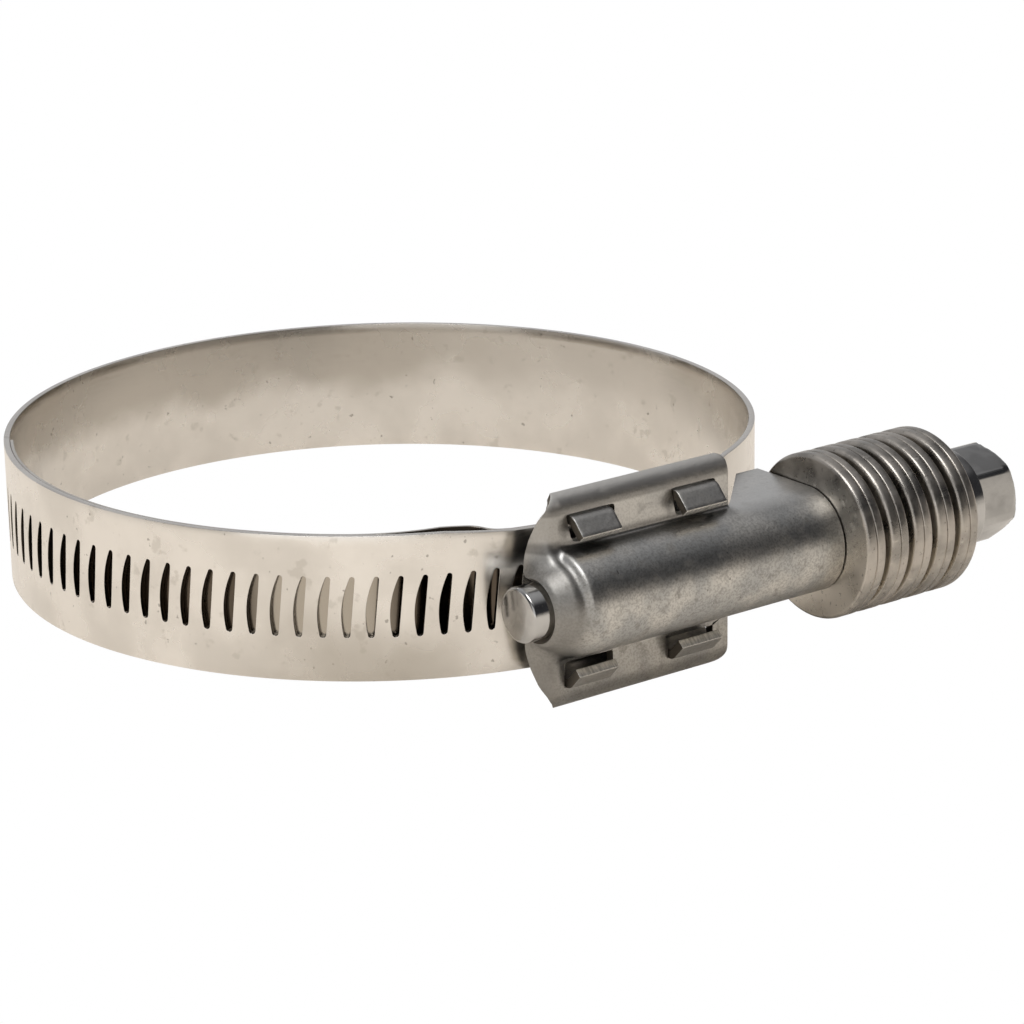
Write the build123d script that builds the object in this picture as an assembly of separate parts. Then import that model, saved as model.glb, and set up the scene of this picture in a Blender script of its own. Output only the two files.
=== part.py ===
from build123d import *
import os
from math import acos, atan2, cos, degrees, radians, sin, sqrt

# Constant torque clamp, in millimetres. The origin is the centre of the hose circle and +Z is its
# axis. The housing is on the -Y side and the screw points from its tip to its head along +X.
# "Out" below means away from the hose axis, which at the housing is -Y.

# Band
band_width = 15.9
band_thickness = 0.66
ring_radius = 41.71
layer_gap = 0.04
tail_angle = -74.0
fixed_end_angle = -103.5
inset_start_angle = -34.0
inset_tight_radius = 34.0
inset_flat_radius = 54.0

# Slots in the band
slot_pitch = 2.54
slot_length = 6.5
slot_width = 1.22
slot_top_radius = 0.28
slot_bottom_radius = 0.36
slot_lean = 6.0
first_slot_angle = -77.8
slot_count = 38

# Liner
liner_thickness = 0.40
liner_side_margin = 0.2
liner_start_angle = -79.0
liner_end_angle = -209.0
bump_start_angle = -108.5
bump_height = 1.35
bump_entry_radius = 5.0
bump_crown_radius = 7.0
bump_return_radius = 20.0

# Screw
screw_standoff = 3.24
tip_radius = 2.90
tip_chamfer = 0.30
tip_x = -14.89
thread_start_x = -6.9
thread_turns = 6.5
thread_clearance = 0.12
thread_depth = 0.80
thread_crest = 0.50
thread_flank = 0.40
thread_root_overlap = 0.30
shank_radius = 4.55
shank_start_x = 14.4
collar_radius = 5.80
collar_length = 3.75
collar_round = 0.60
hex_across_flats = 9.525
hex_length = 5.40
hex_turn = 48.0
hex_chamfer = 0.70

# Housing
sheet = 1.05
running_clearance = 0.10
flange_outer_standoff = 3.29
flange_margin = 2.1
flange_land = 0.1
margin_bend_radius = 2.4
margin_drop_angle = 60.0
housing_foot_x = -13.1
foot_corner_radius = 17.5
foot_bend_x = -9.6
foot_bend_radius = 2.0
foot_slope = 48.0
flange_end_x = 12.44
flange_corner_radius = 1.8
shoulder_x = -9.5
valley_drop = 0.85
ridge_drop = 0.70
valley_length = 0.75
ridge_length = 1.35
nose_length = 3.2
nose_rim = 0.45
arch_root_fillet = 0.45
extension_end_x = 23.60
skirt_depth = 8.15
skirt_front_x = 13.6
skirt_foot_x = 20.6
notch_clear_x = 12.0

# Saddle and its tabs
saddle_sheet = 1.00
saddle_side_clearance = 0.15
saddle_start_x = -6.6
saddle_end_x = 9.2
tab_length = 5.9
tab_centers = (-5.35, 7.90)
tab_slot_length = 6.8
tab_slot_centers = (-5.74, 8.17)
tab_slot_side_gap = 0.15
tab_slot_root_gap = 0.50
tab_rise = 0.20
tab_bend_radius = 0.30
tab_bend_angle = 60.0
tab_reach = 1.40
wall_top_gap = 0.10

# Disc springs
disc_count = 10
disc_radius = 8.97
disc_thickness = 1.25
disc_cone = 0.40
disc_bore_clearance = 0.10
disc_rim_chamfer = 0.18
disc_seat_gap = 0.05

# Sizes that follow
ring_inner_radius = ring_radius - band_thickness
band_mid_radius = ring_radius - band_thickness / 2
liner_mid_radius = ring_inner_radius - layer_gap - liner_thickness / 2
fixed_mid_radius = liner_mid_radius - liner_thickness / 2 - layer_gap - band_thickness / 2
saddle_mid_radius = fixed_mid_radius - band_thickness / 2 - layer_gap - saddle_sheet / 2
screw_out = ring_radius + screw_standoff
flange_out = ring_radius + flange_outer_standoff
arch_inner_radius = shank_radius + running_clearance
arch_radius = arch_inner_radius + sheet
nose_hole_radius = tip_radius + running_clearance
saddle_half_width = band_width / 2 + saddle_side_clearance + saddle_sheet
tab_slot_outer = saddle_half_width + tab_slot_side_gap
tab_slot_inner = arch_radius + tab_slot_root_gap
flange_flat_half_width = tab_slot_outer + flange_land
flange_half_width = flange_flat_half_width + flange_margin
liner_width = band_width - 2 * liner_side_margin
crest_radius = screw_standoff - thread_clearance
root_radius = crest_radius - thread_depth
disc_bore_radius = shank_radius + disc_bore_clearance
disc_pitch = disc_thickness + disc_cone + disc_seat_gap / disc_count
stack_start_x = extension_end_x + disc_seat_gap
collar_x = stack_start_x + disc_count * disc_pitch
hex_x = collar_x + collar_length
screw_end_x = hex_x + hex_length

# Section across the screw: the sketch's X is +Z and its Y is out
across = Plane(origin=(0, 0, 0), x_dir=(0, 0, 1), z_dir=(1, 0, 0))
# Section along the screw: the sketch's X is +X and its Y is out
along = Plane(origin=(0, 0, 0), x_dir=(1, 0, 0), z_dir=(0, 0, -1))
screw_axis = Axis((0, -screw_out, 0), (1, 0, 0))


def ribbon(start, heading, moves, thickness):
    """Face of a strip bent along its middle line. A move is a straight length, or a radius with a
    turn in degrees, positive to the left. Each move starts along the end of the last."""
    x, y = start
    left, right = [], []
    for move in moves:
        normal = (-sin(radians(heading)), cos(radians(heading)))
        if isinstance(move, tuple):
            radius, turn = move
            side = 1 if turn > 0 else -1
            center = (x + side * radius * normal[0], y + side * radius * normal[1])
            begin = degrees(atan2(y - center[1], x - center[0]))
            left.append(CenterArc(center, radius - side * thickness / 2, begin, turn))
            right.append(CenterArc(center, radius + side * thickness / 2, begin, turn))
            x = center[0] + radius * cos(radians(begin + turn))
            y = center[1] + radius * sin(radians(begin + turn))
            heading += turn
        else:
            ends = [(x, y), (x + move * normal[1], y - move * normal[0])]
            for edges, shift in ((left, thickness / 2), (right, -thickness / 2)):
                a, b = [(p[0] + shift * normal[0], p[1] + shift * normal[1]) for p in ends]
                edges.append(Line(a, b))
            x, y = ends[1]
    first_cap = Line(left[0] @ 0, right[0] @ 0)
    last_cap = Line(left[-1] @ 1, right[-1] @ 1)
    return make_face([*left, *right, first_cap, last_cap])


def on_circle(radius, angle):
    return (radius * cos(radians(angle)), radius * sin(radians(angle)))


def step_in(radius, new_radius, first, second):
    """Two clockwise moves from a circle to a smaller one about the same centre, and the angle they
    take. The second radius is negative where the strip curves the other way."""
    a = radius - first
    b = second - first
    cosine = (a * a + b * b - (new_radius - second) ** 2) / (2 * a * b)
    first_turn = acos(cosine)
    center = (a - b * cos(first_turn), b * sin(first_turn))
    scale = new_radius - second
    total = atan2(center[1] / scale, center[0] / scale)
    moves = [(first, -degrees(first_turn)), (abs(second), degrees(total + first_turn))]
    return moves, degrees(total)


def slot_face():
    """Outline of one band slot: a straight edge, two round ends and a bowed edge."""
    right = slot_width / 2
    top = slot_length / 2 - slot_top_radius
    bottom = -(slot_length / 2 - slot_bottom_radius)
    outline = [
        Line((right, bottom), (right, top)),
        CenterArc((right - slot_top_radius, top), slot_top_radius, 0, 180),
        ThreePointArc(
            (right - 2 * slot_top_radius, top), (-right, 0), (right - 2 * slot_bottom_radius, bottom)
        ),
        CenterArc((right - slot_bottom_radius, bottom), slot_bottom_radius, 180, 180),
    ]
    return Rot(0, 0, -slot_lean) * make_face(outline)


def strip_solid(face, width):
    return extrude(face, amount=width / 2, both=True)


def make_band():
    """One strip: the slotted layer from its tail, once round, then stepped in to pass under itself."""
    moves_in, step_angle = step_in(
        band_mid_radius, fixed_mid_radius, inset_tight_radius, inset_flat_radius
    )
    full_turn = -360 + (inset_start_angle - tail_angle)
    last_turn = fixed_end_angle - (inset_start_angle + step_angle)
    moves = [(band_mid_radius, full_turn), *moves_in, (fixed_mid_radius, last_turn)]
    start = on_circle(band_mid_radius, tail_angle)
    body = strip_solid(ribbon(start, tail_angle - 90, moves, band_thickness), band_width)
    slot_step = degrees(slot_pitch / ring_radius)
    depth = band_thickness + liner_thickness / 2
    cutters = []
    for number in range(slot_count):
        angle = first_slot_angle - number * slot_step
        face_plane = Plane(
            origin=(*on_circle(ring_radius, angle), 0),
            x_dir=(-sin(radians(angle)), cos(radians(angle)), 0),
            z_dir=(*on_circle(1, angle), 0),
        )
        cutters.append(extrude(face_plane * slot_face(), amount=depth, both=True))
    return body - cutters


def make_liner():
    """Thin strip inside the slotted layer, with the joggle beside the housing."""
    entry, entry_angle = step_in(
        liner_mid_radius, liner_mid_radius - bump_height, bump_entry_radius, -bump_crown_radius
    )
    leave, leave_angle = step_in(
        liner_mid_radius, liner_mid_radius - bump_height, bump_return_radius, -bump_return_radius
    )
    bump_end = bump_start_angle + entry_angle + leave_angle
    moves = [
        (liner_mid_radius, bump_start_angle - liner_start_angle),
        *entry,
        *reversed(leave),
        (liner_mid_radius, liner_end_angle - bump_end),
    ]
    start = on_circle(liner_mid_radius, liner_start_angle)
    return strip_solid(ribbon(start, liner_start_angle - 90, moves, liner_thickness), liner_width)


def angle_at_x(radius, x):
    return -degrees(acos(x / radius))


def make_saddle():
    """Channel under the band, with four tabs that pass through the housing and fold over it."""
    start_angle = angle_at_x(saddle_mid_radius, saddle_end_x)
    turn = angle_at_x(saddle_mid_radius, saddle_start_x) - start_angle
    start = on_circle(saddle_mid_radius, start_angle)
    base_face = ribbon(start, start_angle - 90, [(saddle_mid_radius, turn)], saddle_sheet)
    base = strip_solid(base_face, 2 * saddle_half_width)
    bottom = saddle_mid_radius - saddle_sheet / 2
    top = flange_out - sheet - wall_top_gap
    tabs_start = tab_centers[0] - tab_length / 2
    tabs_end = tab_centers[-1] + tab_length / 2
    foot = bottom - saddle_sheet
    side = make_face(
        Polyline(
            (tabs_start, top),
            (tabs_end, top),
            (saddle_end_x, foot),
            (saddle_start_x, foot),
            (tabs_start, top),
        )
    )
    wall = along * (side - Circle(bottom))
    walls = extrude(wall, amount=saddle_half_width, both=True)
    walls -= extrude(wall, amount=saddle_half_width - saddle_sheet, both=True)
    body = base + walls
    lower = [
        edge
        for edge in body.edges().filter_by(GeomType.CIRCLE)
        if abs(edge.radius - bottom) < 0.01 and abs(abs(edge.center().Z) - saddle_half_width) < 0.01
    ]
    body = fillet(lower, saddle_sheet * 0.8)
    rise = flange_out + tab_rise - top + saddle_sheet / 2
    bend = (tab_bend_radius + saddle_sheet / 2, tab_bend_angle)
    wall_middle = saddle_half_width - saddle_sheet / 2
    root = (wall_middle, top - saddle_sheet / 2)
    section = ribbon(root, 90, [rise, bend, tab_reach], saddle_sheet)
    tab_section = section + mirror(section, about=Plane.YZ)
    for center in tab_centers:
        body += Pos(center, 0, 0) * extrude(across * tab_section, amount=tab_length / 2, both=True)
    return body


def press_form(shrink):
    """Solid under the housing's skin. With the sheet as the shrink it is the hollow inside."""
    radius = arch_radius - shrink
    skin = flange_out - shrink
    lowest = screw_out - skirt_depth
    # Arch, then shoulder, valley, ridge and front cone of the nose, turned about the screw
    nose_x = shoulder_x - nose_length + shrink
    back = 0.6 * shrink
    line = Polyline(
        (extension_end_x, radius),
        (shoulder_x + back, radius),
        (shoulder_x + back - valley_length, radius - valley_drop),
        (shoulder_x + back - ridge_length, radius - ridge_drop),
        (nose_x, nose_hole_radius + nose_rim - 0.35 * shrink),
    )
    rest = Polyline(line @ 1, (nose_x, 0), (extension_end_x, 0), line @ 0)
    arch = revolve(Plane((0, -screw_out, 0), (1, 0, 0), (0, 0, -1)) * make_face([line, rest]), screw_axis)
    # Flange bent down at both margins, and bent down towards the band at the foot
    bend = margin_bend_radius - shrink
    drop = 2 * margin_bend_radius
    ridge = flange_flat_half_width
    half = [
        Line((0, skin), (ridge, skin)),
        CenterArc((ridge, skin - bend), bend, 90, -margin_drop_angle),
    ]
    corner = half[-1] @ 1
    slope = radians(margin_drop_angle)
    low = (corner.X + drop * cos(slope), corner.Y - drop * sin(slope))
    half += [Line(corner, low), Line(low, (low[0], lowest)), Line((low[0], lowest), (0, lowest))]
    half += [Line((0, lowest), (0, skin))]
    margins = make_face(half)
    margins += mirror(margins, about=Plane.YZ)
    across_block = extrude(across * margins, amount=2 * extension_end_x, both=True)
    foot_bend = foot_bend_radius - min(shrink, foot_bend_radius - 0.2)
    foot_line = [
        Line((flange_end_x, skin), (foot_bend_x, skin)),
        CenterArc((foot_bend_x, skin - foot_bend), foot_bend, 90, foot_slope),
    ]
    corner = foot_line[-1] @ 1
    slope = radians(foot_slope)
    low = (corner.X - 4 * drop * cos(slope), corner.Y - 4 * drop * sin(slope))
    foot_line += [Line(corner, low), Line(low, (flange_end_x, low[1]))]
    foot_line += [Line((flange_end_x, low[1]), (flange_end_x, skin))]
    along_block = extrude(along * make_face(foot_line), amount=2 * flange_half_width, both=True)
    form = across_block & along_block
    skirt = along * Pos((notch_clear_x + extension_end_x) / 2, (screw_out + lowest) / 2) * Rectangle(
        extension_end_x - notch_clear_x, screw_out - lowest
    )
    channel = extrude(skirt, amount=radius, both=True)
    # Rounded root where the arch meets the flange, with one centre for both sides of the sheet
    reach = arch_radius + arch_root_fillet
    lift = flange_out + arch_root_fillet - screw_out
    center = Vector(sqrt(reach**2 - lift**2), screw_out + lift)
    round_radius = arch_root_fillet + shrink
    touch_angle = degrees(atan2(-lift, -center.X))
    arc = CenterArc(center, round_radius, touch_angle, -90 - touch_angle)
    touch = arc @ 0
    root_line = [arc, Line(arc @ 1, (0, skin)), Line((0, skin), (0, touch.Y)), Line((0, touch.Y), touch)]
    root = make_face(root_line)
    root += mirror(root, about=Plane.YZ)
    root_block = extrude(across.offset(shoulder_x + back) * root, amount=flange_end_x - shoulder_x - back)
    return arch + form + channel + root_block


def make_housing():
    """One pressing: arch and nose round the screw, slotted flanges, and a skirted extension."""
    body = press_form(0) - press_form(sheet)
    # Open end for the shank, and the hole for the tip
    bore = Plane((0, -screw_out, 0), (0, 0, 1), (1, 0, 0))
    body -= extrude(bore.offset(shoulder_x + sheet) * Circle(arch_inner_radius), amount=60)
    body -= extrude(bore * Circle(nose_hole_radius), amount=60, both=True)
    # Plan outline of the flanges: the bulged foot on the left, rounded corners on the right
    middle = Pos(housing_foot_x + foot_corner_radius, 0) * Circle(foot_corner_radius)
    width = extension_end_x - housing_foot_x
    flange = Pos(housing_foot_x + width / 2, 0) * Rectangle(width, 2 * flange_half_width)
    flange &= middle + Pos(housing_foot_x + foot_corner_radius + width / 2, 0) * Rectangle(
        width, 2 * foot_corner_radius
    )
    wings = Pos((flange_end_x - 40) / 2, 0) * RectangleRounded(
        flange_end_x + 40, 2 * flange_half_width, flange_corner_radius
    )
    extension = Pos((flange_end_x + extension_end_x) / 2, 0) * Rectangle(
        extension_end_x - flange_end_x + 2, 2 * arch_radius
    )
    plan = flange & (wings + extension)
    floor = Plane(origin=(0, 0, 0), x_dir=(1, 0, 0), z_dir=(0, -1, 0))
    body &= extrude(floor * plan, amount=2 * screw_out)
    # Slanted front edge of the skirt, and the open underside
    low = screw_out - skirt_depth
    notch = make_face(
        Polyline(
            (notch_clear_x, low - 1),
            (skirt_foot_x, low - 1),
            (skirt_foot_x, low),
            (skirt_front_x, flange_out - sheet),
            (notch_clear_x, flange_out - sheet),
            (notch_clear_x, low - 1),
        )
    )
    body -= extrude(along * notch, amount=2 * flange_half_width, both=True)
    # Slots for the saddle's tabs
    for center in tab_slot_centers:
        for side in (1, -1):
            place = Pos(center, side * (tab_slot_outer + tab_slot_inner) / 2)
            hole = place * Rectangle(tab_slot_length, tab_slot_outer - tab_slot_inner)
            body -= extrude(floor.offset(flange_out - 2 * sheet) * hole, amount=4 * sheet)
    return body


def make_screw():
    """Tip, worm thread, shank, collar and hex head in one piece."""
    seat = Plane((0, -screw_out, 0), (1, 0, 0), (0, 0, -1))
    profile = Polyline(
        (tip_x, 0),
        (tip_x, tip_radius - tip_chamfer),
        (tip_x + tip_chamfer, tip_radius),
        (thread_start_x - 1, tip_radius),
        (thread_start_x - 1, root_radius),
        (shank_start_x - 1, root_radius),
        (shank_start_x, shank_radius),
        (collar_x, shank_radius),
        (collar_x, collar_radius),
        (hex_x - collar_round, collar_radius),
        (hex_x, collar_radius - collar_round),
        (hex_x, 0),
        (tip_x, 0),
    )
    body = revolve(seat * make_face(profile), screw_axis)
    path = Helix(slot_pitch, slot_pitch * thread_turns, root_radius)
    start = path @ 0
    section_plane = Plane(origin=start, x_dir=(start.X, start.Y, 0), z_dir=path % 0)
    height = crest_radius - root_radius
    foot = thread_crest / 2 + thread_flank * (height + thread_root_overlap) / height
    ridge = Polyline(
        (-thread_root_overlap, -foot),
        (height, -thread_crest / 2),
        (height, thread_crest / 2),
        (-thread_root_overlap, foot),
        (-thread_root_overlap, -foot),
    )
    thread = sweep(section_plane * make_face(ridge), path=path, is_frenet=True)
    body += Plane((thread_start_x, -screw_out, 0), (0, 0, 1), (1, 0, 0)) * thread
    head_plane = Plane((hex_x, -screw_out, 0), (0, 0, 1), (1, 0, 0))
    corner_radius = hex_across_flats / sqrt(3)
    hexagon = RegularPolygon(corner_radius, 6, rotation=hex_turn)
    head = extrude(head_plane * hexagon, amount=hex_length)
    blank = Polyline(
        (hex_x - 1, 0),
        (hex_x - 1, corner_radius),
        (screw_end_x - hex_chamfer / 2, corner_radius),
        (screw_end_x, corner_radius - hex_chamfer),
        (screw_end_x, 0),
        (hex_x - 1, 0),
    )
    return body + (head & revolve(seat * make_face(blank), screw_axis))


def make_disc(number):
    """Coned washer. Odd discs open towards the head, even discs towards the housing."""
    start = stack_start_x + (number - 1) * disc_pitch
    if number % 2 == 1:
        bore_x, rim_x = start, start + disc_cone
    else:
        bore_x, rim_x = start + disc_cone, start
    profile = Polyline(
        (bore_x, disc_bore_radius),
        (bore_x + disc_thickness, disc_bore_radius),
        (rim_x + disc_thickness, disc_radius),
        (rim_x, disc_radius),
        (bore_x, disc_bore_radius),
    )
    section = make_face(profile)
    rim = section.vertices().group_by(Axis.Y)[-1]
    section = chamfer(rim, disc_rim_chamfer)
    seat = Plane((0, -screw_out, 0), (1, 0, 0), (0, 0, -1))
    return revolve(seat * section, screw_axis)


parts = {
    "band": make_band(),
    "liner": make_liner(),
    "saddle": make_saddle(),
    "housing": make_housing(),
    "screw": make_screw(),
}
for number in range(1, disc_count + 1):
    parts[f"disc_spring_{number:02d}"] = make_disc(number)

os.makedirs("parts", exist_ok=True)
for name, shape in parts.items():
    export_step(shape, f"parts/{name}.step")
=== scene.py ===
import math
import bpy
import numpy as np
from mathutils import Matrix, Vector


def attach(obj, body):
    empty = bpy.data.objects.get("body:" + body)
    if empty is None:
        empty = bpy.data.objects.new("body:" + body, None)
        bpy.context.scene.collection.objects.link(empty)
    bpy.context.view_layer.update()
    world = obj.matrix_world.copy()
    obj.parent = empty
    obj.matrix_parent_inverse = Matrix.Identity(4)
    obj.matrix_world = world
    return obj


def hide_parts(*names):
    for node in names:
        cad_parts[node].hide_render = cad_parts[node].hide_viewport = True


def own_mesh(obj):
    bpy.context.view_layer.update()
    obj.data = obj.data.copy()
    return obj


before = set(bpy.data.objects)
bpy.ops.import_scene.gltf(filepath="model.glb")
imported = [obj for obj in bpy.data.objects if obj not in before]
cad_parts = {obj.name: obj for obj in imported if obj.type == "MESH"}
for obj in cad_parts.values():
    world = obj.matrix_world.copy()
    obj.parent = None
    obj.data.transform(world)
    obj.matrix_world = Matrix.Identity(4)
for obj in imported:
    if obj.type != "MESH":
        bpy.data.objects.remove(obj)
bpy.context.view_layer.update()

# Sizes are written in millimetres and turned to metres where a mesh is made. The screw's axis runs
# along X at this distance from the hose axis, on the -Y side.
MM = 0.001
SCREW_OUT = 44.95
RING_RADIUS = 41.70
BAND_THICKNESS = 0.66
BAND_WIDTH = 15.9


# ---- Mesh makers ----

def add_mesh(name, points, faces, body, nodes=(), smooth=True):
    """Puts points in millimetres and faces into a mesh at the origin and ties it to its body."""
    mesh = bpy.data.meshes.new(name)
    mesh.from_pydata((np.asarray(points, float) * MM).tolist(), [], [list(map(int, f)) for f in faces])
    mesh.update()
    if smooth:
        mesh.shade_smooth()
    piece = bpy.data.objects.new(name, mesh)
    bpy.context.scene.collection.objects.link(piece)
    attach(piece, body)
    if nodes:
        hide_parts(*nodes)
    return piece


def grid_faces(rows, columns, wrap_rows=False, wrap_columns=False, start=0):
    """Quads of a grid of rows by columns, with either direction closed on itself."""
    i = np.arange(rows if wrap_rows else rows - 1)
    j = np.arange(columns if wrap_columns else columns - 1)
    i, j = np.meshgrid(i, j, indexing="ij")
    i2, j2 = (i + 1) % rows, (j + 1) % columns
    quads = np.stack([i * columns + j, i * columns + j2, i2 * columns + j2, i2 * columns + j], -1)
    return quads.reshape(-1, 4) + start


def rounded_profile(corners, radii, steps=4):
    """Points along a chain of straight runs whose corners are rounded by arcs of the given radii."""
    corners = np.asarray(corners, float)
    out = [corners[0]]
    for k in range(1, len(corners) - 1):
        p, a, b = corners[k], corners[k - 1], corners[k + 1]
        u, v = (a - p) / np.linalg.norm(a - p), (b - p) / np.linalg.norm(b - p)
        half = math.acos(max(-1, min(1, float(u @ v)))) / 2
        if radii[k] <= 0 or half > math.pi / 2 - 1e-4:
            out.append(p)
            continue
        reach = min(radii[k] / math.tan(half), 0.49 * np.linalg.norm(a - p), 0.49 * np.linalg.norm(b - p))
        radius = reach * math.tan(half)
        center = p + (u + v) / np.linalg.norm(u + v) * radius / math.sin(half)
        first, last = p + u * reach - center, p + v * reach - center
        sweep = math.pi - 2 * half
        t = np.linspace(0, 1, steps + 1)[:, None]
        arc = (np.sin((1 - t) * sweep) * first + np.sin(t * sweep) * last) / math.sin(sweep)
        out.extend(center + arc)
    out.append(corners[-1])
    return np.array(out)


def turned(profile, around=64):
    """Surface of revolution about the screw's axis. A profile point is (x, radius), and turning it
    by an angle t gives y = -(screw_out + radius cos t), z = radius sin t."""
    profile = np.asarray(profile, float)
    t = np.linspace(0, 2 * np.pi, around, endpoint=False)
    x = np.repeat(profile[:, 0:1], around, 1)
    y = -(SCREW_OUT + profile[:, 1:2] * np.cos(t))
    z = profile[:, 1:2] * np.sin(t)
    return np.stack([x, y, z], -1).reshape(-1, 3)


def outward(piece):
    """Merges what meets and points the faces outwards."""
    import bmesh
    work = bmesh.new()
    work.from_mesh(piece.data)
    bmesh.ops.remove_doubles(work, verts=work.verts, dist=2e-6)
    bmesh.ops.recalc_face_normals(work, faces=work.faces)
    work.to_mesh(piece.data)
    work.free()
    piece.data.shade_smooth()


def face_out(piece):
    """Turns an open skin over if the face that lies farthest out looks inwards. Loose points go."""
    import bmesh
    work = bmesh.new()
    work.from_mesh(piece.data)
    bmesh.ops.delete(work, geom=[v for v in work.verts if not v.link_faces], context="VERTS")
    farthest = min(work.faces, key=lambda face: face.calc_center_median().y)
    if farthest.normal.y > 0:
        bmesh.ops.reverse_faces(work, faces=work.faces)
    work.to_mesh(piece.data)
    work.free()


def bevel(piece, width_mm, segments=2, angle=32):
    """Rounds the edges that turn by more than the angle."""
    mod = piece.modifiers.new("edge", "BEVEL")
    mod.width = width_mm * MM
    mod.segments = segments
    mod.limit_method = "ANGLE"
    mod.angle_limit = math.radians(angle)
    mod.harden_normals = False
    return mod


# ---- Strip paths ----

def strip_moves():
    """The band's middle line as in the model: once round clockwise, stepped in, then under itself."""
    outer, inner = RING_RADIUS - BAND_THICKNESS / 2, 40.24
    first, second = 34.0, 54.0
    a, b = outer - first, second - first
    turn = math.acos((a * a + b * b - (inner - second) ** 2) / (2 * a * b))
    scale = inner - second
    total = math.atan2(b * math.sin(turn) / scale, (a - b * math.cos(turn)) / scale)
    rest = math.radians(-98.5 + 34.0) - total
    return [(outer, -math.radians(320.0)), (first, -turn), (second, total + turn), (inner, rest)]


def liner_moves():
    """The liner's middle line: inside the band, then a joggle inwards and back, then on."""
    radius, height = 40.81, 1.5
    moves, used = [], 0.0
    for first, second in ((2.0, -2.2), (20.0, -20.0)):
        a, b = radius - first, second - first
        turn = math.acos((a * a + b * b - (radius - height - second) ** 2) / (2 * a * b))
        scale = radius - height - second
        total = math.atan2(b * math.sin(turn) / scale, (a - b * math.cos(turn)) / scale)
        pair = [(first, -turn), (abs(second), total + turn)]
        moves += pair if not moves else pair[::-1]
        used += total
    lead = math.radians(-107.5 + 79.0)
    rest = math.radians(-209.0 + 107.5) - used
    return [(radius, lead), *moves, (radius, rest)]


def along_path(start_angle, moves, s, offset):
    """Point on a chain of arcs at length s from its start, shifted outwards by offset. Each arc is a
    radius and a turn, and begins at the last one's end with the last one's direction."""
    radius = moves[0][0]
    x, y = radius * math.cos(start_angle), radius * math.sin(start_angle)
    heading = start_angle - math.pi / 2
    px, py = np.zeros_like(s), np.zeros_like(s)
    begin = 0.0
    for number, (radius, turn) in enumerate(moves):
        length = radius * abs(turn)
        side = 1.0 if turn > 0 else -1.0
        cx, cy = x - side * radius * math.sin(heading), y + side * radius * math.cos(heading)
        last = number == len(moves) - 1
        inside = (s >= begin - 1e-9) & ((s <= begin + length + 1e-9) | last)
        h = heading + side * (s - begin) / radius
        reach = radius - side * offset
        px = np.where(inside, cx + side * reach * np.sin(h), px)
        py = np.where(inside, cy - side * reach * np.cos(h), py)
        heading += turn
        x = cx + side * radius * math.sin(heading)
        y = cy - side * radius * math.cos(heading)
        begin += length
    return px, py


def path_length(moves):
    return sum(radius * abs(turn) for radius, turn in moves)


# ---- Band ----

SLOT_COUNT = 38
SLOT_STEP = 2.54 / RING_RADIUS
CELL_HIGH = 3.9
# The slots lie off even spacing in places. Counted in slots from one 25.1 mm along the strip, these
# are the places and how much nearer the tail the slot there is, as a share of the spacing
DRIFT_START = 25.1
DRIFT_PLACES = [0.0, 5.0, 10.0, 15.0, 20.0, 24.0, 27.0, 34.0]
DRIFT_SHARES = [0.0, 0.14, 0.29, 0.32, 0.20, 0.0, -0.25, 0.0]


def slot_outline(count_side, count_end):
    """Outline of a slot, as points on the unrolled strip. Its right edge is straight and its left edge
    bows, with a small round at the top and a larger one at the bottom, and it leans to the right."""
    def arc(center, radius, a, b, n):
        t = np.radians(np.linspace(a, b, n, endpoint=False))
        return np.stack([center[0] + radius * np.cos(t), center[1] + radius * np.sin(t)], -1)

    def run(p, q, n):
        t = np.linspace(0, 1, n, endpoint=False)[:, None]
        return np.asarray(p) * (1 - t) + np.asarray(q) * t

    bow_t = np.linspace(0, 1, count_side, endpoint=False)[:, None]
    top, middle, bottom = np.array([-0.11, 3.0]), np.array([-1.13, 0.0]), np.array([-0.27, -2.92])
    bow = (1 - bow_t) ** 2 * top + 2 * bow_t * (1 - bow_t) * middle + bow_t ** 2 * bottom
    outline = np.concatenate([
        arc((0.09, -2.92), 0.36, 180, 360, count_end),
        run((0.45, -2.92), (0.45, 3.0), count_side),
        arc((0.17, 3.0), 0.28, 0, 180, count_end),
        bow,
    ])
    lean = math.radians(6.0)
    x = outline[:, 0] * math.cos(lean) + outline[:, 1] * math.sin(lean)
    z = -outline[:, 0] * math.sin(lean) + outline[:, 1] * math.cos(lean)
    return np.stack([x, z], -1)


def cell_outline(width, count_side, count_end):
    """Outline of the strip's cell round one slot, with as many points as the slot's own outline."""
    w, h = width / 2, CELL_HIGH
    t_end = np.linspace(0, 1, count_end, endpoint=False)
    t_side = np.linspace(0, 1, count_side, endpoint=False)
    return np.concatenate([
        np.stack([-w + 2 * w * t_end, np.full(count_end, -h)], -1),
        np.stack([np.full(count_side, w), -h + 2 * h * t_side], -1),
        np.stack([w - 2 * w * t_end, np.full(count_end, h)], -1),
        np.stack([np.full(count_side, -w), h - 2 * h * t_side], -1),
    ])


def upper_edge(angle):
    """Height of the band's upper edge at an angle round the hose axis."""
    return np.interp(np.degrees(angle), [-116.0, -106.0, -80.0, -60.0], [7.5, 7.0, 7.0, 7.5])


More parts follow.
